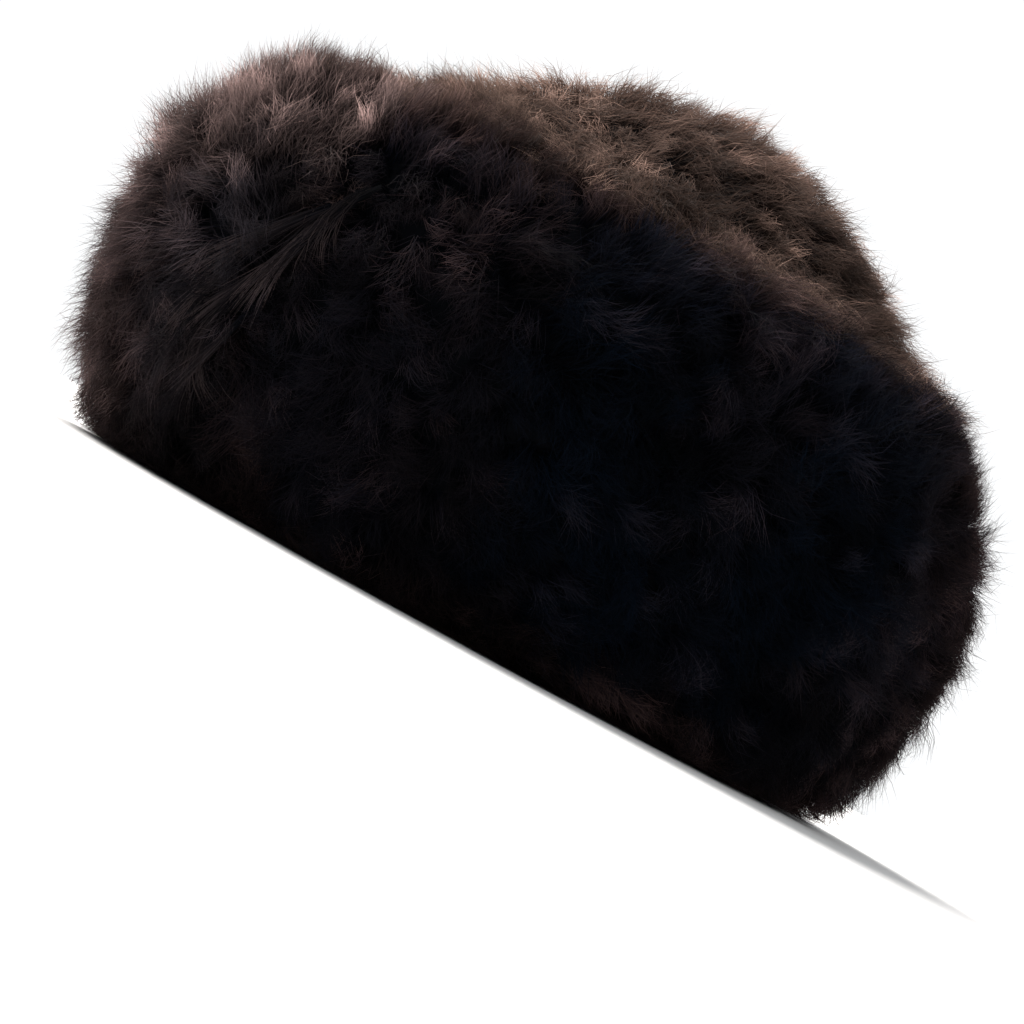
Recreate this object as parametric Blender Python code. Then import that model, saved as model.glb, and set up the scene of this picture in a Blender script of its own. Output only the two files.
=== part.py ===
"""An all-fur winter hat: a hide crown with fur on its dome, an ear band turned up round it and a front flap.

Metres, +Z up. The hat rests on its lower edge on z = 0. Its front faces -Y and its left side is +X.
The origin is the middle of the hat's outline, on that plane.
"""

import math

import bmesh
import bpy
from mathutils import Vector
from mathutils.geometry import delaunay_2d_cdt

# The hollow for the head, front to back, side to side and up to the dome
HEAD_HALF_LENGTH = 0.100
HEAD_HALF_WIDTH = 0.080
HEAD_DEPTH = 0.168

# The hide crown: its thickness, its upright wall, and the roundness of its dome
HIDE = 0.003
CROWN_WALL_HEIGHT = 0.118
DOME_POWER = 1.6

# How far the tips of the locks stand out from the head's hollow, and the outline over them that this makes
FUR_AT_FRONT_AND_BACK = 0.065
FUR_AT_SIDES = 0.052
FUR_ON_TOP = 0.032
HAT_HALF_LENGTH = HEAD_HALF_LENGTH + FUR_AT_FRONT_AND_BACK
HAT_HALF_WIDTH = HEAD_HALF_WIDTH + FUR_AT_SIDES
HAT_HEIGHT = HEAD_DEPTH + FUR_ON_TOP

# The height of the turned-up band's backing, how much fuller it is high up at the front than at the back as a
# share of its reach, and half the front flap's width in degrees
BACKING_HEIGHT = 0.133
FRONT_FULLNESS = 0.30
FLAP_HALF_ANGLE = 36.0

# How far behind the middle of the hat the crown's fur is highest
CROWN_SET_BACK = 0.012

# The locks of fur. How much shorter some are, how far they stand from an even pattern and how far they fan
# out above and below the band's widest line are shares of a lock's length or of the space between locks.
LOCK_LENGTH = 0.011
LOCK_SHORTENING = 0.30
LOCK_STAGGER = 0.25
LOCK_SCATTER = 0.12
LOCK_FAN = 0.45

# Clearance between pieces, and the least height of a lock's tip over the surface that the hat rests on
CLEARANCE = 0.0003
LOWEST_TIP = 0.001

# Locks round the flap and round the rest of the band. Both are odd, so that a lock stands in the middle of
# the front and of the back. DOME_RINGS is the rings of locks on the dome.
FLAP_LOCKS = 11
BAND_LOCKS = 49
ROUND_LOCKS = FLAP_LOCKS + BAND_LOCKS
DOME_RINGS = 8

# The backing's outer side from the lower edge to the crest: height as a share of BACKING_HEIGHT, reach as a
# share of the way from the crown's wall to the backing's widest outline, and the length of the locks above
# it as a share of LOCK_LENGTH
BAND_SECTION = [
    # height, reach, lock
    (0.000, 0.50, 0.75),
    (0.060, 0.66, 0.90),
    (0.150, 0.80, 1.00),
    (0.265, 0.92, 1.00),
    (0.375, 0.99, 1.00),
    (0.490, 1.00, 1.00),
    (0.605, 0.97, 1.00),
    (0.725, 0.88, 1.00),
    (0.825, 0.76, 1.00),
    (0.910, 0.62, 1.00),
    (0.970, 0.46, 0.95),
    (1.000, 0.29, 0.00),
]

# The crown fur's backing: how high it lies at a ring, from the edge to the middle of the dome, as a share of
# the way from the band's crest to the backing's top
CROWN_SECTION = [
    # ring, up
    (1.00, 0.00),
    (0.79, 0.20),
    (0.65, 0.39),
    (0.51, 0.61),
    (0.42, 0.72),
    (0.31, 0.84),
    (0.20, 0.94),
    (0.00, 1.00),
]

# Dents in the band's fur on each side: degrees round from the front and half the width in degrees, the
# middle and half the height as shares of BACKING_HEIGHT, and the depth as a share of LOCK_LENGTH
DENTS = [
    # angle, half_width, height, half_height, depth
    (134.0, 9.0, 0.55, 0.70, 0.60),
    (43.0, 8.0, 0.12, 0.25, 0.65),
    (72.0, 10.0, 0.75, 0.25, 0.25),
    (98.0, 12.0, 0.35, 0.30, 0.22),
    (160.0, 9.0, 0.30, 0.30, 0.25),
    (13.0, 6.0, 0.70, 0.30, 0.22),
]


def scatter(*whole_numbers):
    """A number from -1 to 1 that looks random and is the same each run."""
    mixed = sum(n * step for n, step in zip(whole_numbers, (12.9898, 78.233, 37.719)))
    wave = math.sin(mixed) * 43758.5453
    return 2.0 * (wave - math.floor(wave)) - 1.0


def table_value(table, share, column):
    """A column of a table whose first column rises or falls steadily, read between its rows."""
    rows = sorted(table)
    for low, high in zip(rows, rows[1:]):
        if share <= high[0]:
            part = max(0.0, (share - low[0]) / (high[0] - low[0]))
            return low[column] + (high[column] - low[column]) * part
    return rows[-1][column]


def turn(column):
    """The angle round from the front of a column of locks, which count both ways from the front's middle."""
    half_flap = FLAP_LOCKS / 2
    side = abs(column)
    if side <= half_flap:
        degrees = FLAP_HALF_ANGLE * side / half_flap
    else:
        rest = (side - half_flap) / (ROUND_LOCKS / 2 - half_flap)
        degrees = FLAP_HALF_ANGLE + (180.0 - FLAP_HALF_ANGLE) * rest
    return math.copysign(math.radians(degrees), column)


def oval(angle, half_width, half_length):
    return Vector((half_width * math.sin(angle), -half_length * math.cos(angle), 0.0))


def crown_wall(angle, grow):
    """The oval of the head's hollow, grown outwards."""
    return oval(angle, HEAD_HALF_WIDTH + grow, HEAD_HALF_LENGTH + grow)


def backing_outline(angle):
    """The backing's widest outline, a lock's length inside the hat's."""
    return oval(angle, HAT_HALF_WIDTH - LOCK_LENGTH, HAT_HALF_LENGTH - LOCK_LENGTH)


def bump(distance, half_width):
    """1 in the middle, falling smoothly to 0 at half_width."""
    if abs(distance) >= half_width:
        return 0.0
    return math.cos(0.5 * math.pi * distance / half_width) ** 2


def dent_depth(angle, height):
    degrees = abs(math.degrees(angle))
    share = height / BACKING_HEIGHT
    depth = 0.0
    for dent_angle, half_width, dent_height, half_height, dent in DENTS:
        depth += dent * bump(degrees - dent_angle, half_width) * bump(share - dent_height, half_height)
    return depth * LOCK_LENGTH


def band_point(angle, reach, height):
    """A point of the band, from the crown's wall (reach 0) to the backing's widest outline (reach 1)."""
    inner = crown_wall(angle, HIDE + CLEARANCE)
    way_out = backing_outline(angle) - inner
    reach *= 1.0 + FRONT_FULLNESS * math.cos(angle) * (height / BACKING_HEIGHT - 0.5)
    dent = dent_depth(angle, height) * reach
    point = inner + way_out * reach - way_out.normalized() * dent
    point.z = height
    return point


def crest_point(angle):
    """Where the band's fur meets the crown's."""
    height_share, reach, _ = BAND_SECTION[-1]
    return band_point(angle, reach, height_share * BACKING_HEIGHT)


def crown_point(column, ring, grow):
    """The crown's dome, grown outwards: ring 0 is its middle and ring 1 the top of the upright wall."""
    swing = 0.5 * math.pi * ring
    out = math.sin(swing) ** (2.0 / DOME_POWER)
    up = max(0.0, math.cos(swing)) ** (2.0 / DOME_POWER)
    point = crown_wall(turn(column), grow) * out
    point.z = CROWN_WALL_HEIGHT + (HEAD_DEPTH + grow - CROWN_WALL_HEIGHT) * up
    return point


def crown_fur_point(column, ring):
    """The crown fur's backing, a lock's length under its tips."""
    point = crest_point(turn(column)) * ring
    up = table_value(CROWN_SECTION, ring, 1)
    point.y += CROWN_SET_BACK * up
    point.z = BACKING_HEIGHT + (HAT_HEIGHT - LOCK_LENGTH - BACKING_HEIGHT) * up
    return point


def ring_columns(ring_number):
    """The columns of the points on one ring of the dome. The outer ring's are the band's column edges."""
    count = max(1, round(ROUND_LOCKS * ring_number / DOME_RINGS))
    start = 0.5 if (DOME_RINGS - ring_number) % 2 == 0 else 0.0
    columns = [ROUND_LOCKS / count * (i + start) for i in range(count)]
    return [c if c <= ROUND_LOCKS / 2 else c - ROUND_LOCKS for c in columns]


def dome_net():
    """The places on the dome, each a column and a ring with the outer ring last, and the triangles between."""
    places = [(0.0, 0.0)]
    for ring_number in range(1, DOME_RINGS + 1):
        places += [(column, ring_number / DOME_RINGS) for column in ring_columns(ring_number)]
    flat = []
    for column, ring in places:
        angle = 2.0 * math.pi * column / ROUND_LOCKS
        flat.append(Vector((math.sin(angle), -math.cos(angle))) * ring)
    _, _, triangles, sources, _, _ = delaunay_2d_cdt(flat, [], [], 0, CLEARANCE)
    return places, [[sources[corner][0] for corner in triangle] for triangle in triangles]


def add_dome(mesh, places, point_of):
    """The points of one face of the dome, and those on its edge in order round the hat."""
    points = [mesh.verts.new(point_of(column, ring)) for column, ring in places]
    return points, points[-ROUND_LOCKS:]


def lock_tip(corners, length, sideways=0.0, upwards=0.0):
    """The tip of a lock on a cell of the backing, length out of it. The leans are shares of the cell's size."""
    middle = sum(corners, Vector()) / len(corners)
    along = corners[1] - corners[0]
    up = corners[-1] - corners[0]
    normal = along.cross(corners[-1] - corners[1]).normalized()
    return middle + along * sideways + up * upwards + normal * length


def add_lock(mesh, corners, tip):
    """Four faces from the corners of a cell to its lock's tip, which fuse the lock to the backing."""
    top = mesh.verts.new(tip)
    for this, following in zip(corners, corners[1:] + corners[:1]):
        mesh.faces.new((this, following, top))


def finish_object(name, mesh, material):
    """Makes one closed body of a bmesh, with its faces pointing out."""
    bmesh.ops.recalc_face_normals(mesh, faces=mesh.faces)
    data = bpy.data.meshes.new(name)
    mesh.to_mesh(data)
    mesh.free()
    data.materials.append(material)
    piece = bpy.data.objects.new(name, data)
    bpy.context.scene.collection.objects.link(piece)
    return piece


def band_grid(mesh, columns):
    """The backing's outer points, row by row. Inner ones are staggered, and all follow the dents."""
    first, last = columns[0], columns[-1]
    grid = []
    for row, (height_share, reach, _) in enumerate(BAND_SECTION):
        height = height_share * BACKING_HEIGHT
        on_edge = row in (0, len(BAND_SECTION) - 1)
        line = []
        for column in columns:
            side = math.copysign(1.0, column)
            place = column
            if not on_edge and column not in (first, last):
                sway = LOCK_STAGGER * (1 if row % 2 else -1)
                sway += LOCK_SCATTER * scatter(row, abs(column))
                place += side * sway
            line.append(mesh.verts.new(band_point(turn(place), reach, height)))
        grid.append(line)
    return grid


def shift_seam(points, angle, way):
    """Moves the points of a seam half a clearance away from it, square to it."""
    across = (backing_outline(angle) - crown_wall(angle, 0.0)).cross(Vector((0.0, 0.0, 1.0)))
    move = across.normalized() * (-way * CLEARANCE / 2)
    for point in points:
        point.co += move


def band_columns(first, count):
    """Edges of columns counted on from first, with those past the back's middle counted from the other side."""
    columns = [first + i for i in range(count + 1)]
    return [c if c <= ROUND_LOCKS / 2 else c - ROUND_LOCKS for c in columns]


def band_lock_tip(row, column, corners):
    """A lock's tip on the band: those at the front's and back's middle have their full length."""
    on_middle = abs(column) in (0.0, ROUND_LOCKS / 2)
    cut = 0.0 if on_middle else LOCK_SHORTENING * abs(scatter(row, abs(column), 1))
    sideways = 0.0 if on_middle else LOCK_SCATTER * scatter(row, abs(column), 2) * math.copysign(1.0, column)
    fan = LOCK_FAN * (BAND_SECTION[row][0] + BAND_SECTION[row + 1][0] - 1.0)
    length = LOCK_LENGTH * BAND_SECTION[row][2] * (1.0 - cut)
    tip = lock_tip([corner.co for corner in corners], length, sideways, fan)
    tip.z = max(tip.z, LOWEST_TIP)
    return tip


def make_band_piece(name, first, count, material):
    """A piece of the turned-up band with its locks, from column edge first on round the hat."""
    mesh = bmesh.new()
    columns = band_columns(first, count)
    grid = band_grid(mesh, columns)
    foot = [mesh.verts.new(band_point(turn(c), 0.0, 0.0)) for c in columns]
    head = [mesh.verts.new(band_point(turn(c), 0.0, CROWN_WALL_HEIGHT)) for c in columns]
    rows = [foot, *grid, head]
    for end, way in ((0, 1.0), (-1, -1.0)):
        shift_seam([line[end] for line in rows], turn(columns[end]), way)
    for i in range(count):
        middle = columns[i] + 0.5
        for row in range(len(grid) - 1):
            low, high = grid[row], grid[row + 1]
            corners = [low[i], low[i + 1], high[i + 1], high[i]]
            add_lock(mesh, corners, band_lock_tip(row, middle, corners))
        for low, high in ((foot, grid[0]), (grid[-1], head), (head, foot)):
            mesh.faces.new((low[i], low[i + 1], high[i + 1], high[i]))
    for end in (0, -1):
        mesh.faces.new([line[end] for line in rows])
    return finish_object(name, mesh, material)


def join_rings(mesh, one, other):
    """Four-sided faces between two closed rings of points."""
    for i in range(len(one)):
        mesh.faces.new((one[i - 1], one[i], other[i], other[i - 1]))


def make_crown(material):
    """The hide cap: a dome on an upright wall, inside and out, joined round the rim."""
    mesh = bmesh.new()
    places, triangles = dome_net()
    rims = []
    for grow in (HIDE, 0.0):
        points, edge = add_dome(mesh, places, lambda column, ring: crown_point(column, ring, grow))
        for triangle in triangles:
            mesh.faces.new([points[corner] for corner in triangle])
        rim = [mesh.verts.new((point.co.x, point.co.y, 0.0)) for point in edge]
        join_rings(mesh, edge, rim)
        rims.append(rim)
    join_rings(mesh, *rims)
    return finish_object("crown", mesh, material)


def lift_over_crest(column):
    """How far up the crown fur's edge moves to lie a clearance off the band's sloping top."""
    angle = turn(column)
    run = (crest_point(angle) - band_point(angle, 0.0, BACKING_HEIGHT)).length
    rise = BACKING_HEIGHT - CROWN_WALL_HEIGHT
    return Vector((0.0, 0.0, CLEARANCE * math.hypot(run, rise) / run))


def crown_fur_backing(column, ring):
    """A point of the crown fur's backing, moved off the even pattern unless it is at the edge or the middle."""
    if ring == 1.0:
        return crown_fur_point(column, ring) + lift_over_crest(column)
    if ring == 0.0:
        return crown_fur_point(column, ring)
    ring_number = round(ring * DOME_RINGS)
    moved_ring = ring + LOCK_SCATTER / DOME_RINGS * scatter(ring_number, abs(column), 3)
    return crown_fur_point(column, moved_ring)


def crown_fur_inside(column, ring):
    """A point of the crown fur's inside, a clearance off the dome."""
    point = crown_point(column, ring, HIDE + CLEARANCE)
    return point + lift_over_crest(column) if ring == 1.0 else point


def make_crown_fur(material):
    """The fur on the dome, whose edge lies on the band's crest."""
    mesh = bmesh.new()
    places, triangles = dome_net()
    backing, backing_edge = add_dome(mesh, places, crown_fur_backing)
    inside, inside_edge = add_dome(mesh, places, crown_fur_inside)
    for triangle in triangles:
        corners = [backing[corner] for corner in triangle]
        ring_sum = sum(places[corner][1] for corner in triangle)
        side_sum = sum(abs(places[corner][0]) for corner in triangle)
        length = LOCK_LENGTH * (1.0 - LOCK_SHORTENING * abs(scatter(ring_sum, side_sum, 5)))
        add_lock(mesh, corners, lock_tip([corner.co for corner in corners], length))
        mesh.faces.new([inside[corner] for corner in triangle])
    join_rings(mesh, backing_edge, inside_edge)
    return finish_object("crown_fur", mesh, material)


def make_material(name, colour, roughness):
    material = bpy.data.materials.new(name)
    material.use_nodes = True
    shader = material.node_tree.nodes["Principled BSDF"]
    shader.inputs["Base Color"].default_value = (*colour, 1.0)
    shader.inputs["Roughness"].default_value = roughness
    shader.inputs["Metallic"].default_value = 0.0
    return material


def build_hat():
    for old in list(bpy.data.objects):
        bpy.data.objects.remove(old, do_unlink=True)
    make_crown(make_material("hide", (0.070, 0.042, 0.028), 0.9))
    make_crown_fur(make_material("crown_fur", (0.060, 0.037, 0.028), 0.85))
    seam = FLAP_LOCKS / 2
    make_band_piece("ear_band", seam, BAND_LOCKS, make_material("band_fur", (0.022, 0.014, 0.012), 0.85))
    make_band_piece("front_flap", -seam, FLAP_LOCKS, make_material("flap_fur", (0.032, 0.020, 0.016), 0.85))


build_hat()
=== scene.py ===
"""The looks of the fur hat: coats of fur in strands, the hide, and a studio seen at the photo's angle.

Metres, +Z up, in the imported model's frame. The hat's front faces -Y and its left side is +X.
"""

import math

import bpy
import numpy as np
from mathutils import Matrix, Vector


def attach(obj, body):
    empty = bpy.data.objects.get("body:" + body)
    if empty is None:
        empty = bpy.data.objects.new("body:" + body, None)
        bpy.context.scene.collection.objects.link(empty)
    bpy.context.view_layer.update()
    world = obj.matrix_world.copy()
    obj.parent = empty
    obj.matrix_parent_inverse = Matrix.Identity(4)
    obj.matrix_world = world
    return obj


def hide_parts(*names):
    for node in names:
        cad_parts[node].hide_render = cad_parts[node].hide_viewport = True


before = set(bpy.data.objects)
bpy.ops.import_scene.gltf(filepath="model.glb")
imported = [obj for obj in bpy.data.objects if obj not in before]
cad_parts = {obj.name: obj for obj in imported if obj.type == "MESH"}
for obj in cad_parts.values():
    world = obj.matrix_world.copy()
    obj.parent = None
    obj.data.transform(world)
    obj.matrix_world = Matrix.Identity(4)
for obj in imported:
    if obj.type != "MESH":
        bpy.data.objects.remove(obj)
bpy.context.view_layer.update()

# The hollow's oval and the hide's thickness, as in the part
HEAD_HALF_LENGTH = 0.100
HEAD_HALF_WIDTH = 0.080
HIDE = 0.003

# The hat's outline over the fur, and how far the pelt that the fur grows from lies inside it
HAT_HALF_LENGTH = 0.165
HAT_HALF_WIDTH = 0.132
HAT_HEIGHT = 0.200
FUR_DEPTH = 0.014

# The band's height, its fullness at the front, half the flap's width, and where the crown is highest
BAND_HEIGHT = 0.133
FRONT_FULLNESS = 0.30
FLAP_HALF_ANGLE = math.radians(36.0)
CROWN_SET_BACK = 0.012

# The band's outer side, from under the lower edge to the crest: height as a share of BAND_HEIGHT, and reach
# as a share of the way from the crown's wall to the pelt's widest outline
BAND_SECTION = np.array([
    # height, reach
    (0.020, 0.10),
    (0.000, 0.50),
    (0.060, 0.66),
    (0.150, 0.80),
    (0.265, 0.92),
    (0.375, 0.99),
    (0.490, 1.00),
    (0.605, 0.97),
    (0.725, 0.88),
    (0.825, 0.76),
    (0.910, 0.62),
    (0.970, 0.46),
    (1.000, 0.29),
])

# The crown's pelt: how high it lies at a ring, which is 0 in the middle of the dome and 1 at its edge, as a
# share of the way from the band's crest to its top
CROWN_SECTION = np.array([
    # ring, up
    (0.00, 1.00),
    (0.20, 0.94),
    (0.31, 0.84),
    (0.42, 0.72),
    (0.51, 0.61),
    (0.65, 0.39),
    (0.79, 0.20),
    (1.00, 0.00),
])

# Hollows in the band's fur: degrees round from the front, half the width in degrees, the middle and half the
# height as shares of BAND_HEIGHT, and the depth in metres
DENTS = [
    # angle, half_width, height, half_height, depth
    (134.0, 9.0, 0.55, 0.70, 0.008),
    (43.0, 8.0, 0.12, 0.25, 0.009),
    (72.0, 10.0, 0.75, 0.25, 0.003),
    (98.0, 12.0, 0.35, 0.30, 0.003),
    (160.0, 9.0, 0.30, 0.30, 0.003),
    (13.0, 6.0, 0.70, 0.30, 0.003),
]

# The kinds of hair. Angles are in degrees and sizes in metres. Length and gather are shares of the coat's,
# and light is how much paler than their tuft the palest hairs of the kind are.
HAIRS = {
    "under": dict(segments=2, to_a_tuft=46, width=0.00036, length=0.88, light=0.0, gather=0.80,
                  lean_scatter=11.0, turn_scatter=17.0, curl_scatter=16.0),
    "wisp": dict(segments=3, to_a_tuft=26, width=0.00023, length=1.02, light=0.30, gather=1.15,
                 lean_scatter=14.0, turn_scatter=20.0, curl_scatter=34.0),
    "stray": dict(segments=3, to_a_tuft=1, width=0.00030, length=1.20, light=1.0, gather=0.0,
                  lean_scatter=25.0, turn_scatter=60.0, curl_scatter=60.0),
}
STRAY_TUFTS = 40  # one tuft in this many has a stray hair

# How the hairs of a tuft differ, from and to, as shares of what their tuft has
HAIR_LENGTHS = (0.76, 1.10)
HAIR_GATHERS = (0.7, 1.3)
HAIR_LIGHTS = (0.5, 1.5)
HAIR_SHADES = (0.75, 1.25)
HAIR_WARMTHS = (0.6, 1.3)
HAIR_TWIST = 40.0  # degrees
TIP_SCATTER = 1.3  # times the scatter of the lean at the root
GATHER_POWER = 1.5  # the more, the nearer to the tips the hairs are drawn together
MOST_GATHERED = 0.85
PALE_POWER = 3  # the more, the fewer hairs are pale
DARK_SPARKLE = 0.12  # how much of its pale hair shows where the fur has no painted light

# A strand's width as shares of its hair's: at the root, and then narrowing along its joints
ROOT_WIDTH = 0.8
NARROWING = (1.25, 0.55)
CELL_MARGIN = 0.15  # of the map's cell that a strand has

# The coats of fur. Space is the distance between tufts and spread the radius that one grows from. Root and
# tip say how far the hair lies over from upright, and curl how far it turns aside along its length. Gather
# is how far a tuft's hairs are drawn together at their tips. Swirl is how far the way the hair lies wanders
# over swirl_size, and scatter how far it differs from tuft to tuft. Lumps is how much the length changes
# over lump_size. Locks is the share of tufts that make a paler, narrower lock, and turns_up says between
# which shares of the way up the band the hair turns from hanging to standing.
COATS = {
    "band": dict(space=0.0060, spread=0.0050, length=0.0185, root=26.0, tip=88.0, gather=0.62, curl=45.0,
                 swirl=34.0, swirl_size=0.014, scatter=20.0, lumps=0.22, lump_size=0.008, locks=0.20,
                 turns_up=(0.55, 0.85)),
    "flap": dict(space=0.0060, spread=0.0048, length=0.0205, root=14.0, tip=76.0, gather=0.60, curl=40.0,
                 swirl=34.0, swirl_size=0.014, scatter=20.0, lumps=0.20, lump_size=0.009, locks=0.22,
                 turns_up=(0.38, 0.86)),
    "crown": dict(space=0.0066, spread=0.0054, length=0.0170, root=20.0, tip=80.0, gather=0.60, curl=45.0,
                  swirl=40.0, swirl_size=0.015, scatter=24.0, lumps=0.22, lump_size=0.009, locks=0.20,
                  turns_up=(0.0, 1.0)),
}
CLOSEST = 0.78  # how near to each other two tufts may be, as a share of their coat's space
TRIES = 3.0  # places tried on each patch as wide and long as the space
SURFACE_GRID = 160  # cells each way, in which the area of a surface is summed
SLOPE_STEP = 0.03  # how far to each side a surface's slope is taken, in the surface's own two measures
RIPPLE_WAVES = 7  # waves that make up a ripple
SEED = 20

# How the tufts of a coat differ, from and to, as shares of what the coat has
TUFT_ROOTS = (0.4, 1.6)
TUFT_TIPS = (0.7, 1.3)
TUFT_LENGTHS = (0.5, 1.3)
TUFT_GATHERS = (0.5, 1.5)
TUFT_SIZES = (0.7, 1.4)
TUFT_SHADES = (0.35, 1.8)
LUMP_SCATTER = 0.10
SHADE_SCATTER = 0.20
SHADE_RIPPLES = [
    # size, height
    (0.015, 0.35),
    (0.005, 0.15),
]

# A tuft drawn together into a lock, against a plain one. The lean is that at the root.
LOCK_SHADE = 1.9
PLAIN_SHADE = 0.78
MOST_SHADE = 2.4
LOCK_LEAN = 1.5
LOCK_SIZE = 0.85
LOCK_WARMTH = 0.18

# How much less a tuft leans, and how much shorter it is, where it is brushed upright
STAND_LEAN = 0.45
STAND_LENGTH = 0.22

# The lie of the band's hair: how much of it goes back, how much up or down, and where the hair under the
# lower edge turns outwards
LIE_BACK = 0.5
LIE_UP = (0.5, 1.0)
LIE_OUT = (0.12, 0.0)

# Nothing on the band changes along a straight line: its places wander by so much, over about so many metres
RISING_WANDER = 0.08
RISING_SIZE = 0.018
WANDER_SIZE = 0.016
WANDER_SCATTER = 0.5
ROUND_WANDER = 7.0  # degrees
FACING_WANDER = 0.09
EDGE_WANDER = 0.04

# The band's painted light, mixed into the colour of its hairs' tips. A row has the most that it gives and
# the
# ramps that it grows over, from and to: round is degrees from the front to either side, up and edge are
# shares of the way up the band, and facing is how much the fur faces upwards. The light is painted light on
# the upper and upward-facing fur, most near the front, with a painted rim light at the front and back, and
# it adds up its
# rows. Warm is a painted warm rim light round the front, the back, the lower edge and the upward-facing fur:
# the most that a row of the first warm table gives, with the most that a row of the second, towards the
# front and the crest, gives added.
PAINTED_LIGHT_TABLE = [
    # most, ramps
    (0.43, dict(facing=(0.57, 0.95))),
    (1.10, dict(up=(0.50, 0.80), round=(46.0, 22.0))),
    (0.08, dict(round=(140.0, 172.0))),
    (0.28, dict(round=(16.0, 0.0))),
    (0.02, dict(round=(80.0, 45.0))),
]
# Painted warm rim light round the front, the back, the lower edge and the upward-facing fur
PAINTED_WARM_RIM_LIGHT = [
    # most, ramps
    (1.0, dict(round=(42.0, 5.0))),
    (0.9, dict(round=(112.0, 160.0))),
    (1.0, dict(edge=(0.16, 0.03))),
    (1.0, dict(facing=(0.55, 0.95))),
]
# More painted warm light towards the front and the crest
PAINTED_WARM_SIDE_LIGHT = [
    # most, ramps
    (0.26, dict(round=(85.0, 40.0))),
    (0.14, dict(up=(0.60, 0.85))),
]
WARM_PATCHES = 0.15
WARM_SIZE = 0.02

# Where the band's hair stands upright: from and to as shares of the way up, and by STAND_TURN of that where
# it turns from hanging to standing. Over STAND_SIDES, in degrees round from the front, it stands less.
STAND_CREST = (0.66, 0.90)
STAND_TURN = 0.6
STAND_HALF_WIDTH = 0.22
STAND_SIDES = (35.0, 70.0)
STAND_LESS = 0.7

# The crown's hair lies away from a point this far in front of its middle. Its tufts are pale all over,
# partly with the fur's own tan and partly with painted light from above, and they get darker over its edge,
# a painted shade where the dome turns down away from the light. The parting, the edge and how far that
# wanders are shares of the way from the middle to the rim.
CROWN_PARTING = 0.35
CROWN_STAND = 0.1
CROWN_LIGHTS = (0.62, 1.07)
CROWN_EDGE = (0.75, 1.0)
CROWN_EDGE_SHADE = 0.35
CROWN_WANDER = 0.07

# The long pale locks over each seam of the flap lie along a line: from and to, as degrees round from the
# front and shares of the way up the band
SEAM_START = (43.5, 0.70)
SEAM_END = (32.0, 0.30)
SEAM_LOCKS = 16
SEAM_LOCK_HAIRS = 28
SEAM_SEGMENTS = 4
SEAM_HAIR_WIDTH = 0.00028
# The length of a lock as a share of the line's, and of a hair as a share of its lock's
SEAM_LOCK_REACHES = (0.33, 0.66)
SEAM_HAIR_REACHES = (0.8, 1.1)
SEAM_STAGGER = 0.06  # how unevenly the hairs of a lock start, as a share of the line
# How far, in degrees round the hat, the locks stand from the line, their hairs from the lock, and both bend
SEAM_SCATTER = 2.2
SEAM_SPREAD = 0.48
SEAM_BEND = 3.2
SEAM_HAIR_BEND = 0.5  # a hair's own bend, as a share of its lock's
# How much of the scatter there is at the start of the line, and of the spread at both ends of a lock
SEAM_SCATTER_START = 0.25
SEAM_SPREAD_ENDS = (0.5, 1.1)
# How high a lock lies over the pelt, its hairs from and to as shares of that, the share that there is all
# along, and the part of a half circle that the rest makes an arch over
SEAM_RISE = 0.0108
SEAM_HAIR_RISES = (0.75, 1.05)
SEAM_LEAST_RISE = 0.55
SEAM_ARCH = (0.15, 0.85)
# The tones of the locks and of the hairs in them
SEAM_LOCK_LIGHTS = (0.05, 0.32)
SEAM_HAIR_LIGHT = 0.24
SEAM_LOCK_SHADES = (0.5, 1.5)
SEAM_HAIR_SHADES = (0.7, 1.3)
SEAM_WARMTH = 0.25

# The height of the pelt's lower edge over the floor, and that under which hair is laid along the floor
PELT_LIFT = 0.006
FLOOR_KNEE = 0.004

# Where the band's pelt meets the crown's wall, as shares of its height, and how finely the pelts are cut up
PELT_FOOT = 0.02
PELT_HEAD = 0.9
PELT_STEP = math.radians(1.8)
CROWN_COLUMNS = 96
CROWN_RINGS = 24
CROWN_LEAST_RING = 0.05

# The colours of each coat at the hairs' roots and tips, and of the pale and the warm hairs' tips. The dark
# roots and the band's and the flap's bluish near-black tips are partly the fur's own colour and partly
# painted shade. The pale and the warm colours serve both paler and warmer hairs and painted light, and the
# crown's tan is partly its own and partly painted light from above.
FUR_COLOURS = {
    "band": dict(root=(0.0003, 0.0013, 0.0036), tip=(0.0042, 0.0108, 0.0220),
                 light=(0.195, 0.124, 0.106), warm=(0.080, 0.048, 0.044)),
    "flap": dict(root=(0.0010, 0.0020, 0.0042), tip=(0.022, 0.026, 0.038),
                 light=(0.315, 0.220, 0.204), warm=(0.098, 0.064, 0.060)),
    "crown": dict(root=(0.012, 0.0085, 0.0074), tip=(0.124, 0.081, 0.067),
                  light=(0.290, 0.194, 0.158), warm=(0.152, 0.088, 0.070)),
}
TIP_POWER = 1.6  # the more, the nearer to its end a hair takes the tip's colour
FUR_ROUGHNESS = 0.7
FUR_SHINE = 0.06
FUR_THROUGH = 0.55  # the share of the light that comes through the hairs

# Matt surfaces: two colours that they are mottled between, the size of the mottling in metres, how rough
# they are, and the height of their relief
SURFACES = {
    # The pelt's near-black blue is painted shade deep under the fur; its mottling is its grain
    "pelt": dict(dark=(0.0008, 0.0012, 0.0020), pale=(0.0020, 0.0024, 0.0036), size=0.004, roughness=0.9,
                 relief=0.0005),
    "hide": dict(dark=(0.050, 0.030, 0.020), pale=(0.090, 0.055, 0.037), size=0.003, roughness=0.85,
                 relief=0.0003),
    "floor": dict(dark=(0.80, 0.80, 0.80), pale=(0.83, 0.83, 0.83), size=0.4, roughness=0.9, relief=0.0),
}
MOTTLE_DETAIL = 6.0
MOTTLE_CONTRAST = 2.5
MATT_SHINE = 0.04

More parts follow.
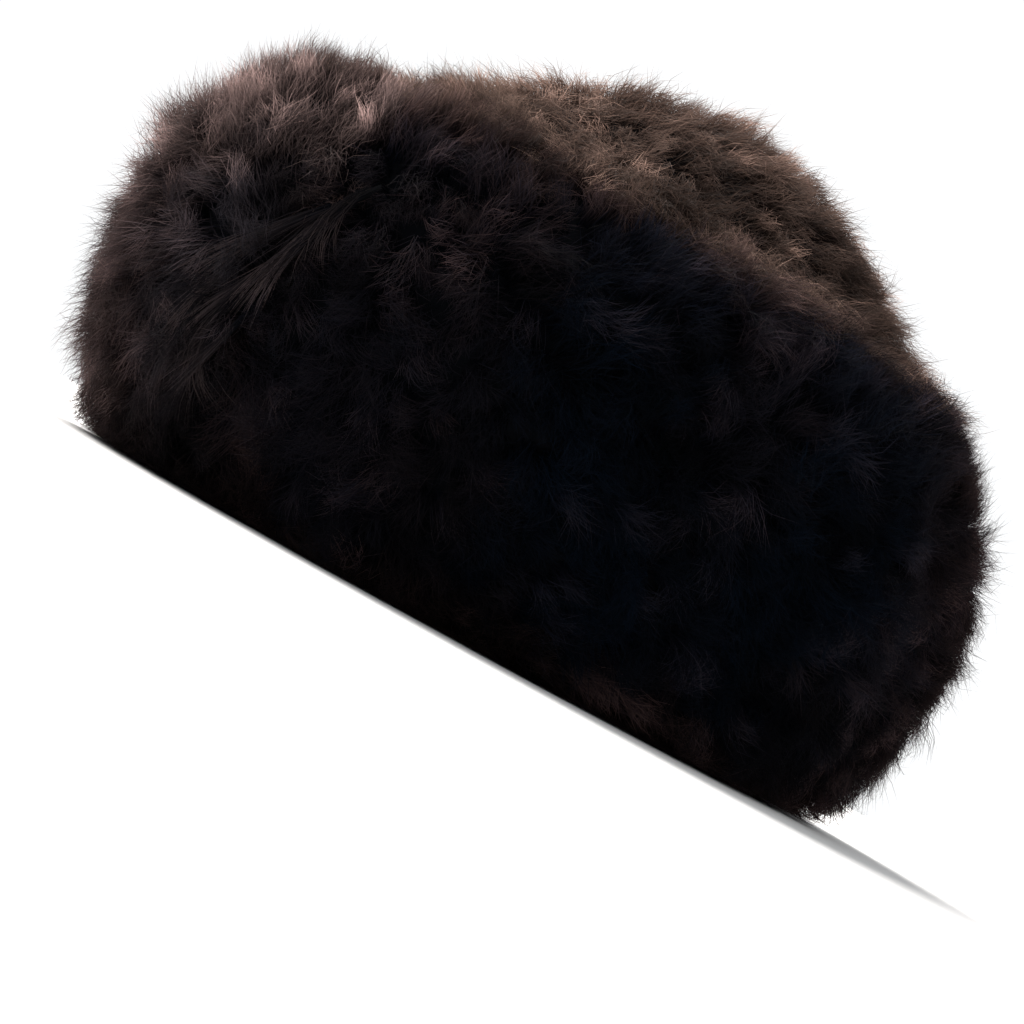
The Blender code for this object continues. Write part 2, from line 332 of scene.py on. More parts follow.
# The camera looks at its target from the hat's left and a little in front. The target lies at TARGET_PIXEL
# of the photo, and FOCAL_PIXELS is the camera's focal length in the photo's pixels.
CAMERA_AZIMUTH = math.radians(72.0)
CAMERA_ELEVATION = math.radians(-4.5)
CAMERA_ROLL = math.radians(28.8)
CAMERA_DISTANCE = 0.9
CAMERA_TARGET = Vector((0.0, 0.0, 0.09))
PHOTO_SIZE = 1024
FOCAL_PIXELS = 2715.0
TARGET_PIXEL = (576.0, 388.0)
SENSOR = 36.0
CAMERA_CLIP = 0.01

FLOOR_RADIUS = 1.4
FLOOR_SIDES = 128

# The key light hangs towards the photo's upper edge and somewhat behind the hat
KEY_BEHIND = 0.55
KEY_DISTANCE = 2.5
KEY_SIZE = 2.0
KEY_POWER = 190.0
KEY_COLOUR = (1.0, 0.96, 0.92)

# The world's strength behind the camera and behind the hat, and the span of directions that it changes over
WORLD_DIM = 0.5
WORLD_BRIGHT = 1.05
WORLD_SPAN = 0.6
WORLD_COLOUR = (0.98, 0.99, 1.0, 1.0)

rng = np.random.default_rng(SEED)


def unit(vectors):
    """Vectors drawn to a length of 1."""
    return vectors / np.maximum(np.linalg.norm(vectors, axis=-1, keepdims=True), 1e-9)


def between(ends, shape):
    """Even random numbers from the first of two ends to the second."""
    return ends[0] + (ends[1] - ends[0]) * rng.random(shape)


def oval(angle, half_width, half_length):
    """Points of a level oval. The angle is 0 at the front and grows towards the hat's left."""
    return np.stack([half_width * np.sin(angle), -half_length * np.cos(angle), np.zeros_like(angle)], -1)


def bump(distance, half_width):
    """1 in the middle, falling smoothly to 0 at half_width."""
    share = np.clip(np.abs(distance) / half_width, 0.0, 1.0)
    return np.cos(0.5 * np.pi * share) ** 2


def ramp(value, start, end):
    """0 up to start, 1 from end on, and smooth between. Where start is above end it falls with the value."""
    share = np.clip((value - start) / (end - start), 0.0, 1.0)
    return share * share * (3.0 - 2.0 * share)


def ripple(points, size, seed):
    """Smooth random numbers, mostly from -1 to 1, that change over about that size."""
    field = np.random.default_rng(seed)
    total = np.zeros(len(points))
    for _ in range(RIPPLE_WAVES):
        total += np.sin(points @ (field.normal(0.0, 1.0, 3) / size) + 2.0 * np.pi * field.random())
    return total / math.sqrt(RIPPLE_WAVES)


def from_front(angle):
    """Degrees round from the front, to either side."""
    return np.degrees(np.abs(np.arctan2(np.sin(angle), np.cos(angle))))


def dent_depth(angle, share):
    """How deep the dents are at a share of the band's height."""
    degrees = from_front(angle)
    depth = np.zeros_like(degrees)
    for dent_angle, half_width, height, half_height, dent in DENTS:
        depth += dent * bump(degrees - dent_angle, half_width) * bump(share - height, half_height)
    return depth


def section_along():
    """How far along the section's line each row of BAND_SECTION is, from 0 to 1."""
    depth = HAT_HALF_WIDTH - HEAD_HALF_WIDTH
    steps = np.diff(BAND_SECTION * (BAND_HEIGHT, depth), axis=0)
    lengths = np.hypot(steps[:, 0], steps[:, 1])
    return np.concatenate([[0.0], np.cumsum(lengths)]) / lengths.sum()


SECTION_ALONG = section_along()
LOWER_EDGE = SECTION_ALONG[1]


def band_at(angle, share, reach):
    """A point of the band at a share of its height, with reach 0 at the crown's wall and 1 at its widest."""
    inner = oval(angle, HEAD_HALF_WIDTH + HIDE, HEAD_HALF_LENGTH + HIDE)
    outline = oval(angle, HAT_HALF_WIDTH - FUR_DEPTH, HAT_HALF_LENGTH - FUR_DEPTH)
    way_out = outline - inner
    reach = reach * (1.0 + FRONT_FULLNESS * np.cos(angle) * (share - 0.5))
    point = inner + way_out * reach[..., None]
    point -= unit(way_out) * (dent_depth(angle, share) * reach)[..., None]
    point[..., 2] = PELT_LIFT + share * (BAND_HEIGHT - PELT_LIFT)
    return point


def band_surface(angle, along):
    """A point of the band's pelt: along is 0 under its lower edge and 1 at its crest."""
    share = np.interp(along, SECTION_ALONG, BAND_SECTION[:, 0])
    reach = np.interp(along, SECTION_ALONG, BAND_SECTION[:, 1])
    return band_at(angle, share, reach)


def crown_surface(across, back):
    """A point of the crown's pelt, from its place in a disc of radius 1 seen from above."""
    angle = np.arctan2(across, -back)
    ring = np.hypot(across, back)
    top = np.full_like(ring, BAND_SECTION[-1, 0])
    point = band_at(angle, top, np.full_like(ring, BAND_SECTION[-1, 1])) * ring[..., None]
    up = np.interp(ring, CROWN_SECTION[:, 0], CROWN_SECTION[:, 1])
    point[..., 1] += CROWN_SET_BACK * up
    point[..., 2] = BAND_HEIGHT + (HAT_HEIGHT - FUR_DEPTH - BAND_HEIGHT) * up
    return point


def frames(surface, one, other):
    """Points of a surface with their outward unit vectors."""
    along_one = surface(one + SLOPE_STEP, other) - surface(one - SLOPE_STEP, other)
    along_other = surface(one, other + SLOPE_STEP) - surface(one, other - SLOPE_STEP)
    return surface(one, other), unit(np.cross(along_one, along_other))


def thin_out(places, least):
    """Which of some points to keep, so that none is nearer than that to an earlier one."""
    taken, chosen = {}, []
    near = [(x, y, z) for x in (-1, 0, 1) for y in (-1, 0, 1) for z in (-1, 0, 1)]
    homes = np.floor(places / least).astype(int).tolist()
    for index, (place, (x, y, z)) in enumerate(zip(places.tolist(), homes)):
        neighbours = (other for i, j, k in near for other in taken.get((x + i, y + j, z + k), ()))
        if all(math.dist(place, other) >= least for other in neighbours):
            taken.setdefault((x, y, z), []).append(place)
            chosen.append(index)
    return chosen


def spread_places(surface, one_range, other_range, space, inside=None):
    """Places on a surface, about that far apart."""
    one = np.linspace(*one_range, SURFACE_GRID + 1)
    other = np.linspace(*other_range, SURFACE_GRID + 1)
    points = surface(*np.meshgrid(one, other, indexing="ij"))
    sides = points[1:, :-1] - points[:-1, :-1], points[:-1, 1:] - points[:-1, :-1]
    area = np.linalg.norm(np.cross(*sides), axis=-1).ravel()
    tries = int(TRIES * area.sum() / space**2)
    row, column = np.divmod(rng.choice(area.size, tries, p=area / area.sum()), SURFACE_GRID)
    one = one[row] + (one[1] - one[0]) * rng.random(tries)
    other = other[column] + (other[1] - other[0]) * rng.random(tries)
    if inside is not None:
        kept = inside(one, other)
        one, other = one[kept], other[kept]
    chosen = thin_out(surface(one, other), CLOSEST * space)
    return one[chosen], other[chosen]


def turned(ahead, side, angle):
    """A vector turned from straight ahead towards the side."""
    return ahead * np.cos(angle)[..., None] + side * np.sin(angle)[..., None]


def grow(tufts, hair, coat):
    """The strands of one kind of hair in some tufts: their joints, the ways their width lies, and tints."""
    count, segments = len(tufts["point"]), hair["segments"]
    shape = (count, hair["to_a_tuft"])
    normal, flow = tufts["normal"][:, None], tufts["flow"][:, None]
    side = np.cross(normal, flow)

    def spin(degrees):
        return math.radians(degrees) * rng.normal(0.0, 1.0, shape)

    radius = coat["spread"] * tufts["size"][:, None] * np.sqrt(rng.random(shape))
    offset = turned(flow, side, 2.0 * np.pi * rng.random(shape)) * radius[..., None]
    root = tufts["root"][:, None] + spin(hair["lean_scatter"])
    tip = tufts["tip"][:, None] + spin(TIP_SCATTER * hair["lean_scatter"])
    turn = spin(hair["turn_scatter"])
    curl = tufts["curl"][:, None] + spin(hair["curl_scatter"])
    length = hair["length"] * tufts["length"][:, None] * between(HAIR_LENGTHS, shape)
    gather = hair["gather"] * coat["gather"] * tufts["gather"][:, None] * between(HAIR_GATHERS, shape)
    gather = np.minimum(gather, MOST_GATHERED)
    joint = tufts["point"][:, None] + offset
    path, ways = [joint], []
    for step in range(segments):
        share = step / (segments - 1)
        heading = turned(flow, side, turn + curl * share)
        lean = root + (tip - root) * share
        ways.append(turned(normal, heading, lean))
        joint = joint + ways[-1] * (length / segments)[..., None]
        drawn_in = gather * ((step + 1) / segments) ** GATHER_POWER
        path.append(joint - offset * drawn_in[..., None])
    ways.append(ways[-1])
    path, ways = np.stack(path, 2), np.stack(ways, 2)
    wide = unit(np.cross(ways, normal[:, :, None]))
    twist = np.broadcast_to(spin(HAIR_TWIST)[..., None], wide.shape[:3])
    wide = turned(wide, np.cross(ways, wide), twist)
    light = tufts["light"][:, None] * between(HAIR_LIGHTS, shape)
    # Pale hairs, showing more where more light is painted on the tuft
    light += hair["light"] * rng.random(shape) ** PALE_POWER * np.minimum(DARK_SPARKLE + light, 1.0)
    shade = tufts["shade"][:, None] * between(HAIR_SHADES, shape)
    warm = tufts["warm"][:, None] * between(HAIR_WARMTHS, shape)
    strands = shape[0] * shape[1]
    return {
        "path": path.reshape(strands, segments + 1, 3),
        "wide": wide.reshape(strands, segments + 1, 3) * (0.5 * hair["width"]),
        "tints": {"light": light.ravel(), "shade": shade.ravel(), "warm": warm.ravel()},
    }


def add_piece(name, vertices, loops, sizes, material, node):
    """A mesh made from arrays, riding on the hat's body in place of a CAD node."""
    mesh = bpy.data.meshes.new(name)
    mesh.vertices.add(len(vertices))
    mesh.vertices.foreach_set("co", vertices.astype(np.float32).ravel())
    mesh.loops.add(len(loops))
    mesh.loops.foreach_set("vertex_index", loops.astype(np.int32))
    mesh.polygons.add(len(sizes))
    starts = np.concatenate([[0], np.cumsum(sizes)[:-1]])
    mesh.polygons.foreach_set("loop_start", starts.astype(np.int32))
    mesh.polygons.foreach_set("loop_total", sizes.astype(np.int32))
    mesh.polygons.foreach_set("use_smooth", np.ones(len(sizes), bool))
    mesh.update(calc_edges=True)
    mesh.materials.append(material)
    piece = bpy.data.objects.new(name, mesh)
    bpy.context.scene.collection.objects.link(piece)
    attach(piece, "root")
    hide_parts(node)
    return piece


def ribbons(strands):
    """Corners and faces of flat strands that taper to a point, with how far along each corner is."""
    path, wide = strands["path"], strands["wide"]
    count, segments = len(path), path.shape[1] - 1
    taper = np.linspace(*NARROWING, segments)
    taper[0] = ROOT_WIDTH
    pairs = np.stack([path - wide, path + wide], 2)[:, :segments]
    middle = path[:, :segments, None]
    pairs = middle + (pairs - middle) * taper[None, :, None, None]
    vertices = np.concatenate([pairs.reshape(count, 2 * segments, 3), path[:, -1:]], 1)
    height = vertices[..., 2]
    near_floor = FLOOR_KNEE * np.exp(np.minimum(height / FLOOR_KNEE - 1.0, 0.0))
    vertices[..., 2] = np.where(height < FLOOR_KNEE, near_floor, height)
    corners = 2 * segments + 1
    pattern = [low + step for low in range(0, corners - 3, 2) for step in (0, 1, 3, 2)]
    pattern += [corners - 3, corners - 2, corners - 1]
    loops = np.arange(count)[:, None] * corners + np.array(pattern)
    along = np.concatenate([np.repeat(np.arange(segments) / segments, 2), [1.0]])
    across = np.array([0.0, 1.0] * segments + [0.5])
    return {
        "vertices": vertices.reshape(-1, 3),
        "loops": loops.ravel(),
        "sizes": np.tile([4] * (segments - 1) + [3], count),
        "tip": np.tile(along, count),
        "spot": np.tile(np.stack([across, along], -1)[pattern], (count, 1)),
        "strand": np.repeat(np.arange(count), len(pattern)),
        "count": count,
        "tints": {label: np.repeat(tint, corners) for label, tint in strands["tints"].items()},
    }


def add_strands(name, groups, material, node):
    """One mesh of strands of several kinds, with the numbers that colour them."""
    made = [ribbons(group) for group in groups]
    base, first, loops, strand = 0, 0, [], []
    for part in made:
        loops.append(part["loops"] + base)
        strand.append(part["strand"] + first)
        base += len(part["vertices"])
        first += part["count"]
    vertices = np.concatenate([part["vertices"] for part in made])
    sizes = np.concatenate([part["sizes"] for part in made])
    piece = add_piece(name, vertices, np.concatenate(loops), sizes, material, node)
    values = {label: np.concatenate([part["tints"][label] for part in made]) for label in made[0]["tints"]}
    values["tip"] = np.concatenate([part["tip"] for part in made])
    for label, numbers in values.items():
        attribute = piece.data.attributes.new(label, "FLOAT", "POINT")
        attribute.data.foreach_set("value", numbers.astype(np.float32))
    add_cells(piece, np.concatenate(strand), np.concatenate([part["spot"] for part in made]), first)
    return piece


def add_cells(piece, strand, spot, count):
    """A map that gives each strand a cell of its own."""
    across = math.ceil(math.sqrt(count))
    row, column = np.divmod(strand, across)
    cells = np.stack([column, row], -1) + CELL_MARGIN + (1.0 - 2.0 * CELL_MARGIN) * spot
    layer = piece.data.uv_layers.new(name="OFBake")
    layer.uv.foreach_set("vector", (cells / across).astype(np.float32).ravel())


def add_grid(name, points, material, node):
    """A closed body from rows of points: each row is a loop, and the first and last are filled."""
    rows, columns = points.shape[:2]
    index = np.arange(rows * columns).reshape(rows, columns)
    following = np.roll(index, -1, axis=1)
    quads = np.stack([index[:-1], following[:-1], following[1:], index[1:]], -1).reshape(-1, 4)
    loops = np.concatenate([quads.ravel(), index[0][::-1], index[-1]])
    sizes = np.concatenate([np.full(len(quads), 4), [columns, columns]])
    return add_piece(name, points.reshape(-1, 3), loops, sizes, material, node)


class Nodes:
    """Short calls that add and link a material's nodes."""

    def __init__(self, name):
        self.material = bpy.data.materials.new(name)
        self.material.use_nodes = True
        self.tree = self.material.node_tree
        self.shader = self.tree.nodes["Principled BSDF"]

    def feed(self, socket, value):
        """Link a socket to another one, or set its value."""
        if isinstance(value, bpy.types.NodeSocket):
            self.tree.links.new(value, socket)
        else:
            socket.default_value = (*value, 1.0) if isinstance(value, tuple) else value

    def number(self, label):
        """A number that the mesh holds at each corner."""
        node = self.tree.nodes.new("ShaderNodeAttribute")
        node.attribute_name = label
        return node.outputs["Fac"]

    def calculate(self, operation, *values):
        """What a maths node makes of some numbers."""
        node = self.tree.nodes.new("ShaderNodeMath")
        node.operation = operation
        for socket, value in zip(node.inputs, values):
            self.feed(socket, value)
        return node.outputs[0]

    def mix(self, factor, one, other):
        """Two colours mixed."""
        node = self.tree.nodes.new("ShaderNodeMix")
        node.data_type = "RGBA"
        self.feed(node.inputs["Factor"], factor)
        for label, value in (("A", one), ("B", other)):
            self.feed([i for i in node.inputs if i.name == label and i.type == "RGBA"][0], value)
        return [o for o in node.outputs if o.type == "RGBA"][0]

    def scaled(self, colour, factor):
        """A colour made paler or darker."""
        node = self.tree.nodes.new("ShaderNodeVectorMath")
        node.operation = "SCALE"
        self.feed(node.inputs[0], colour)
        self.feed(node.inputs["Scale"], factor)
        return node.outputs[0]

    def set(self, **values):
        """Set or link the shader's own sockets, named with _ for a space."""
        for label, value in values.items():
            self.feed(self.shader.inputs[label.replace("_", " ")], value)


def fur_material(name, root, tip, light, warm):
    """Fur whose colour runs from root to tip, and from tuft to tuft, with painted light and shade mixed into
    it.
    Light comes through its hairs.
    """
    nodes = Nodes(name)
    end = nodes.mix(nodes.number("warm"), tip, warm)
    end = nodes.mix(nodes.number("light"), end, light)
    colour = nodes.mix(nodes.calculate("POWER", nodes.number("tip"), TIP_POWER), root, end)
    colour = nodes.scaled(colour, nodes.number("shade"))
    nodes.set(Base_Color=colour, Roughness=FUR_ROUGHNESS, Specular_IOR_Level=FUR_SHINE)
    through = nodes.tree.nodes.new("ShaderNodeBsdfTranslucent")
    nodes.feed(through.inputs["Color"], colour)
    both = nodes.tree.nodes.new("ShaderNodeMixShader")
    both.inputs["Fac"].default_value = FUR_THROUGH
    nodes.tree.links.new(nodes.shader.outputs[0], both.inputs[1])
    nodes.tree.links.new(through.outputs[0], both.inputs[2])
    nodes.tree.links.new(both.outputs[0], nodes.tree.nodes["Material Output"].inputs["Surface"])
    return nodes.material


def mottled_material(name):
    """A matt surface mottled between two colours, with a fine relief of the same grain."""
    surface = SURFACES[name]
    nodes = Nodes(name)
    place = nodes.tree.nodes.new("ShaderNodeTexCoord")
    noise = nodes.tree.nodes.new("ShaderNodeTexNoise")
    noise.inputs["Scale"].default_value = 1.0 / surface["size"]
    noise.inputs["Detail"].default_value = MOTTLE_DETAIL
    bumps = nodes.tree.nodes.new("ShaderNodeBump")
    bumps.inputs["Distance"].default_value = surface["relief"]
    nodes.tree.links.new(place.outputs["Object"], noise.inputs["Vector"])
    nodes.tree.links.new(noise.outputs["Fac"], bumps.inputs["Height"])
    darkest = 0.5 * (1.0 - MOTTLE_CONTRAST)
    share = nodes.calculate("MULTIPLY_ADD", noise.outputs["Fac"], MOTTLE_CONTRAST, darkest)
    colour = nodes.mix(share, surface["dark"], surface["pale"])
    nodes.set(Base_Color=colour, Roughness=surface["roughness"], Specular_IOR_Level=MATT_SHINE)
    nodes.set(Normal=bumps.outputs["Normal"])
    return nodes.material


def make_tufts(points, normals, flow, coat, light, warm, stand, seed):
    """What the hairs of each tuft share. Stand, from 0 to 1, is how far they are brushed upright."""
    count = len(points)
    lock = rng.random(count) < coat["locks"]
    upright = 1.0 - STAND_LEAN * stand
    lean = np.where(lock, LOCK_LEAN, 1.0)
    flow = unit(flow - normals * np.sum(flow * normals, -1, keepdims=True))
    swirl = coat["swirl"] * ripple(points, coat["swirl_size"], seed)
    swirl += coat["scatter"] * rng.normal(0.0, 1.0, count)
    lumps = coat["lumps"] * ripple(points, coat["lump_size"], seed + 1)
    lumps += LUMP_SCATTER * rng.normal(0.0, 1.0, count)
    shade = 1.0 + SHADE_SCATTER * rng.normal(0.0, 1.0, count)
    for number, (size, height) in enumerate(SHADE_RIPPLES, 2):
        shade += height * ripple(points, size, seed + number)
    shade = np.clip(shade, *TUFT_SHADES) * np.where(lock, LOCK_SHADE, PLAIN_SHADE)
    return {
        "point": points,
        "normal": normals,
        "flow": turned(flow, np.cross(normals, flow), np.radians(swirl)),
        "root": np.radians(coat["root"]) * between(TUFT_ROOTS, count) * upright * lean,
        "tip": np.radians(coat["tip"]) * between(TUFT_TIPS, count) * upright,
        "curl": np.radians(coat["curl"]) * rng.normal(0.0, 1.0, count) * upright,
        "length": coat["length"] * np.clip(1.0 + lumps, *TUFT_LENGTHS) * (1.0 - STAND_LENGTH * stand),
        "gather": between(TUFT_GATHERS, count),
        "size": between(TUFT_SIZES, count) * np.where(lock, LOCK_SIZE, 1.0),
        "shade": np.minimum(shade, MOST_SHADE),
        "light": light,
        "warm": np.clip(warm + LOCK_WARMTH * lock, 0.0, 1.0),
    }


def by_place(rows, place):
    """What each row of a table of painted light gives at some places."""
    given = []
    for most, ramps in rows:
        shares = [ramp(place[label], *ends) for label, ends in ramps.items()]
        given.append(most * np.prod(shares, axis=0))
    return given


def band_tufts(first, last, coat, seed):
    """The tufts of a stretch of the band, with the way their hair lies and the light painted on them."""
    angle, along = spread_places(band_surface, (first, last), (0.0, 1.0), coat["space"])
    points, normals = frames(band_surface, angle, along)
    up = np.clip((along - LOWER_EDGE) / (1.0 - LOWER_EDGE), 0.0, 1.0)
    outwards = unit(points * (1.0, 1.0, 0.0))
    flow = np.zeros_like(points)
    flow[:, 1] = LIE_BACK
    rising = ramp(up + RISING_WANDER * ripple(points, RISING_SIZE, seed + 6), *coat["turns_up"])
    flow[:, 2] = np.where(rng.random(len(up)) < rising, 1.0, -1.0) * between(LIE_UP, len(up))
    flow += outwards * ramp(up, *LIE_OUT)[:, None]
    wander = ripple(points, WANDER_SIZE, seed + 7) + WANDER_SCATTER * rng.normal(0.0, 1.0, len(up))
    place = {
        "round": from_front(angle) + ROUND_WANDER * wander,
        "facing": normals[:, 2] + FACING_WANDER * wander,
        "edge": up + EDGE_WANDER * wander,
        "up": up,
    }
    # Painted light: paler tips on the upper and upward-facing fur and at the front and back rims
    light = np.sum(by_place(PAINTED_LIGHT_TABLE, place), 0)
    # Painted warm light at the rims and sides; the random warm patches after it are the fur's own
    warm = np.max(by_place(PAINTED_WARM_RIM_LIGHT, place), 0) + np.max(by_place(PAINTED_WARM_SIDE_LIGHT, place), 0)
    warm += WARM_PATCHES * np.maximum(ripple(points, WARM_SIZE, seed + 4), 0.0)
    turn = 0.5 * sum(coat["turns_up"])
    stand = np.maximum(ramp(up, *STAND_CREST), STAND_TURN * bump(up - turn, STAND_HALF_WIDTH))
    stand *= 1.0 - STAND_LESS * ramp(place["round"], *STAND_SIDES)
    return make_tufts(points, normals, flow, coat, light, warm, stand, seed)


def coat_strands(tufts, coat):
    """Every kind of hair of a coat, with the stray ones in a few tufts alone."""
    some = {label: values[::STRAY_TUFTS] for label, values in tufts.items()}
    return [grow(some if kind == "stray" else tufts, hair, coat) for kind, hair in HAIRS.items()]


def seam_strands(side):
    """The long pale locks that lie down along one of the flap's seams and fan out at its foot."""
    locks, hairs = (SEAM_LOCKS, 1, 1), (SEAM_LOCKS, SEAM_LOCK_HAIRS, 1)
    step = np.linspace(0.0, 1.0, SEAM_SEGMENTS + 1)
    reach = between(SEAM_LOCK_REACHES, locks) * between(SEAM_HAIR_REACHES, hairs)
    share = rng.random(locks) - SEAM_STAGGER * rng.random(hairs) + reach * step
    aside = SEAM_SCATTER * rng.normal(0.0, 1.0, locks) * (SEAM_SCATTER_START + share)
    spread = np.linspace(*SEAM_SPREAD_ENDS, SEAM_SEGMENTS + 1)
    aside = aside + SEAM_SPREAD * rng.normal(0.0, 1.0, hairs) * spread
    bend = rng.normal(0.0, 1.0, locks) + SEAM_HAIR_BEND * rng.normal(0.0, 1.0, hairs)
    degrees = SEAM_START[0] + (SEAM_END[0] - SEAM_START[0]) * share + aside + SEAM_BEND * bend * step**2
    up = SEAM_START[1] + (SEAM_END[1] - SEAM_START[1]) * share
    arch = np.sin(np.pi * np.linspace(*SEAM_ARCH, SEAM_SEGMENTS + 1))
    rise = SEAM_RISE * between(SEAM_HAIR_RISES, hairs) * (SEAM_LEAST_RISE + (1.0 - SEAM_LEAST_RISE) * arch)
    points, normals = frames(band_surface, side * np.radians(degrees), LOWER_EDGE + (1.0 - LOWER_EDGE) * up)
    path = (points + normals * rise[..., None]).reshape(-1, SEAM_SEGMENTS + 1, 3)
    wide = unit(np.cross(np.gradient(path, axis=1), normals.reshape(path.shape)))
    light = between(SEAM_LOCK_LIGHTS, locks) + SEAM_HAIR_LIGHT * rng.random(hairs) ** PALE_POWER
    shade = between(SEAM_LOCK_SHADES, locks) * between(SEAM_HAIR_SHADES, hairs)
    return {
        "path": path,
        "wide": wide * (0.5 * SEAM_HAIR_WIDTH),
        "tints": {"light": light.ravel(), "shade": shade.ravel(), "warm": np.full(light.size, SEAM_WARMTH)},
    }


def make_band(material, pelt):
    """The band's fur in four stretches, over its pelt."""
    quarter, whole = np.pi / 2, 2 * np.pi
    sectors = {
        "left_front": (FLAP_HALF_ANGLE, quarter),
        "left_back": (quarter, np.pi),
        "right_back": (np.pi, whole - quarter),
        "right_front": (whole - quarter, whole - FLAP_HALF_ANGLE),
    }
    coat = COATS["band"]
    for name, (first, last) in sectors.items():
        tufts = band_tufts(first, last, coat, seed=1)
        add_strands("band_fur_" + name, coat_strands(tufts, coat), material, "ear_band")
    add_grid("band_pelt", pelt_rows(FLAP_HALF_ANGLE, whole - FLAP_HALF_ANGLE), pelt, "ear_band")


def make_flap(material, pelt):
    """The flap's fur with the locks over its seams, over its pelt."""
    coat = COATS["flap"]
    tufts = band_tufts(-FLAP_HALF_ANGLE, FLAP_HALF_ANGLE, coat, seed=5)
    strands = coat_strands(tufts, coat) + [seam_strands(side) for side in (1, -1)]
    add_strands("flap_fur", strands, material, "front_flap")
    add_grid("flap_pelt", pelt_rows(-FLAP_HALF_ANGLE, FLAP_HALF_ANGLE), pelt, "front_flap")


def pelt_rows(first, last):
    """Loops round the band's section, PELT_STEP apart."""
    share = np.concatenate([[PELT_FOOT], BAND_SECTION[1:, 0], [PELT_HEAD]])
    reach = np.concatenate([[0.0], BAND_SECTION[1:, 1], [0.0]])
    angles = np.linspace(first, last, round((last - first) / PELT_STEP) + 1)
    return np.array([band_at(np.full(len(share), angle), share, reach) for angle in angles])


def in_disc(across, back):
    """Which places lie in the disc that the crown is drawn from."""
    return np.hypot(across, back) <= 1.0


def make_crown_fur(material, pelt):
    """The fur on the dome, over its pelt."""
    coat = COATS["crown"]
    across, back = spread_places(crown_surface, (-1.0, 1.0), (-1.0, 1.0), coat["space"], in_disc)
    points, normals = frames(crown_surface, across, back)
    flow = np.stack([across, back + CROWN_PARTING, np.zeros_like(across)], -1)
    # Pale tufts all over the crown: partly its own tan, partly painted light from above
    light = between(CROWN_LIGHTS, len(across))
    warm = np.clip(0.5 + 0.5 * ripple(points, WARM_SIZE, seed=14), 0.0, 1.0)
    stand = np.full(len(across), CROWN_STAND)
    tufts = make_tufts(points, normals, flow, coat, light, warm, stand, seed=9)
    # Painted shade: the tufts darken over the dome's edge
    ring = np.hypot(across, back) + CROWN_WANDER * ripple(points, WANDER_SIZE, seed=16)
    tufts["shade"] *= 1.0 - CROWN_EDGE_SHADE * ramp(ring, *CROWN_EDGE)
    add_strands("crown_fur_strands", coat_strands(tufts, coat), material, "crown_fur")
    angles = np.linspace(0.0, 2 * np.pi, CROWN_COLUMNS, endpoint=False)
    rings = np.linspace(1.0, CROWN_LEAST_RING, CROWN_RINGS)
    rows = [crown_surface(ring * np.sin(angles), -ring * np.cos(angles)) for ring in rings]
    add_grid("crown_pelt", np.array(rows), pelt, "crown_fur")


def add_floor():
    """A wide pale disc that the hat stands on."""
    angles = np.linspace(0.0, 2 * np.pi, FLOOR_SIDES, endpoint=False)
    rim = [(FLOOR_RADIUS * math.cos(angle), FLOOR_RADIUS * math.sin(angle), 0.0) for angle in angles]
    mesh = bpy.data.meshes.new("floor")
    mesh.from_pydata(rim, [], [list(range(FLOOR_SIDES))])
    mesh.materials.append(mottled_material("floor"))
    floor = bpy.data.objects.new("floor", mesh)
    bpy.context.scene.collection.objects.link(floor)


def camera_axes():
    """The camera's back, right and up, rolled as the photo is."""
    azimuth, elevation, roll = CAMERA_AZIMUTH, CAMERA_ELEVATION, CAMERA_ROLL
    level = math.cos(elevation)
    back = Vector((math.sin(azimuth) * level, -math.cos(azimuth) * level, math.sin(elevation)))
    right = Vector((0.0, 0.0, 1.0)).cross(back).normalized()
    up = back.cross(right)
    return back, right * math.cos(roll) + up * math.sin(roll), up * math.cos(roll) - right * math.sin(roll)


def add_camera():
    """A camera that has the hat where the photo has it."""
    back, right, up = camera_axes()
    place = CAMERA_TARGET + back * CAMERA_DISTANCE
    aside = (TARGET_PIXEL[0] - PHOTO_SIZE / 2) / FOCAL_PIXELS
    down = (TARGET_PIXEL[1] - PHOTO_SIZE / 2) / FOCAL_PIXELS
    back = (back + right * aside - up * down).normalized()
    right = (right - back * right.dot(back)).normalized()
    up = back.cross(right)
    data = bpy.data.cameras.new("camera")
    data.sensor_width = SENSOR
    data.lens = FOCAL_PIXELS / PHOTO_SIZE * SENSOR
    data.clip_start = CAMERA_CLIP
    camera = bpy.data.objects.new("camera", data)
    camera.matrix_world = Matrix.Translation(place) @ Matrix((right, up, back)).transposed().to_4x4()
    bpy.context.scene.collection.objects.link(camera)
    bpy.context.scene.camera = camera


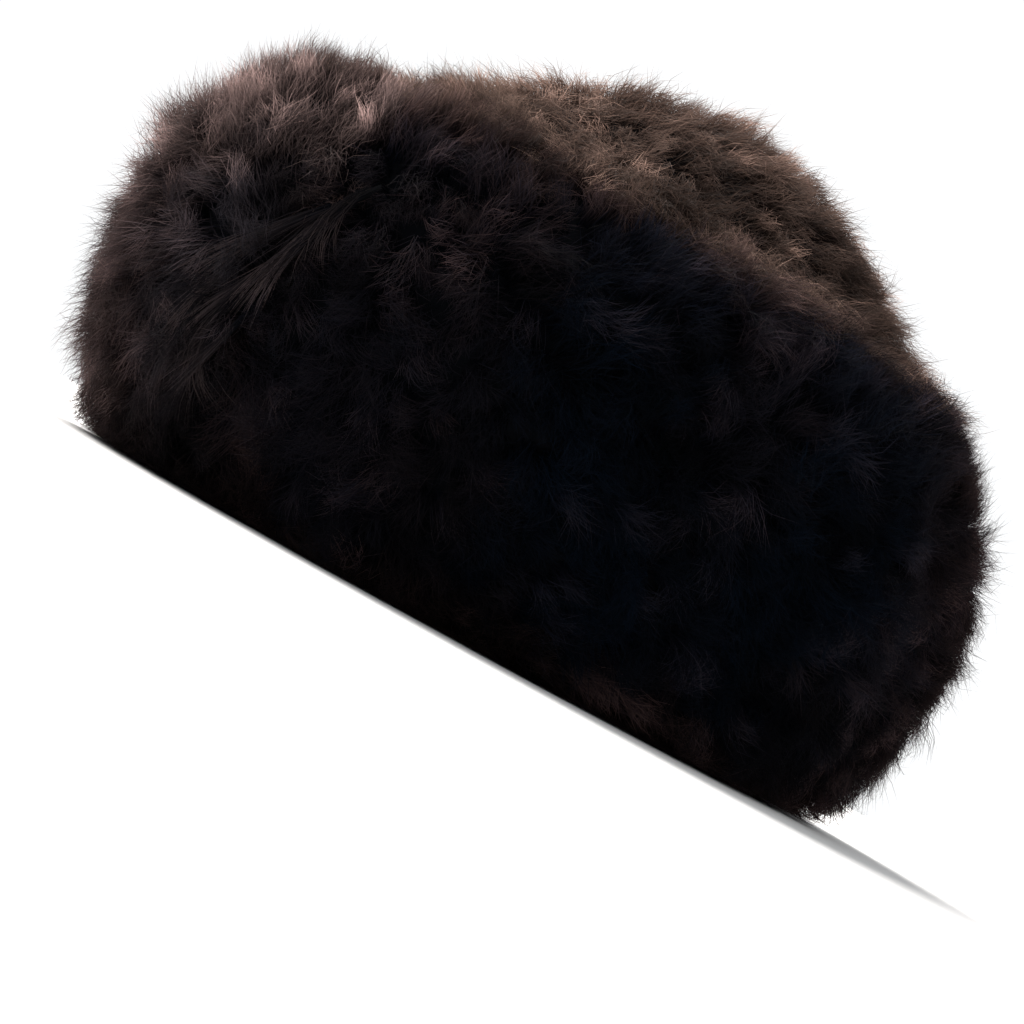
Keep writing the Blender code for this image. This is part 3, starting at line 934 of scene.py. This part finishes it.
def add_key(back, up):
    """A broad soft light from the photo's upper edge and behind."""
    direction = up - back * KEY_BEHIND
    data = bpy.data.lights.new("key", "AREA")
    data.shape = "DISK"
    data.size = KEY_SIZE
    data.energy = KEY_POWER
    data.color = KEY_COLOUR
    light = bpy.data.objects.new("key", data)
    light.location = CAMERA_TARGET + direction.normalized() * KEY_DISTANCE
    light.rotation_mode = "QUATERNION"
    light.rotation_quaternion = direction.to_track_quat("Z", "Y")
    bpy.context.scene.collection.objects.link(light)


def add_world(back):
    """A pale world that is brighter behind the hat."""
    world = bpy.data.worlds.new("studio")
    bpy.context.scene.world = world
    world.use_nodes = True
    tree = world.node_tree
    place = tree.nodes.new("ShaderNodeTexCoord")
    facing = tree.nodes.new("ShaderNodeVectorMath")
    facing.operation = "DOT_PRODUCT"
    facing.inputs[1].default_value = -back
    strength = tree.nodes.new("ShaderNodeMapRange")
    strength.inputs["From Min"].default_value = -WORLD_SPAN
    strength.inputs["From Max"].default_value = WORLD_SPAN
    strength.inputs["To Min"].default_value = WORLD_DIM
    strength.inputs["To Max"].default_value = WORLD_BRIGHT
    sky = tree.nodes["Background"]
    sky.inputs["Color"].default_value = WORLD_COLOUR
    tree.links.new(place.outputs["Generated"], facing.inputs[0])
    tree.links.new(facing.outputs["Value"], strength.inputs["Value"])
    tree.links.new(strength.outputs[0], sky.inputs["Strength"])


def dress_crown():
    """The hide's material on the crown, whose shape stays as the CAD has it."""
    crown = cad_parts["crown"]
    crown.data.materials.clear()
    crown.data.materials.append(mottled_material("hide"))


def dress_hat():
    """The hide, and the three coats of fur over their pelts, near-black with painted shade."""
    pelt = mottled_material("pelt")
    dress_crown()
    make_band(fur_material("band_fur", **FUR_COLOURS["band"]), pelt)
    make_flap(fur_material("flap_fur", **FUR_COLOURS["flap"]), pelt)
    make_crown_fur(fur_material("crown_fur", **FUR_COLOURS["crown"]), pelt)


def build_studio():
    """The camera, the floor, the light and the world."""
    back, _, up = camera_axes()
    add_camera()
    add_floor()
    add_key(back, up)
    add_world(back)
    bpy.context.scene.view_settings.view_transform = "Standard"


dress_hat()
build_studio()
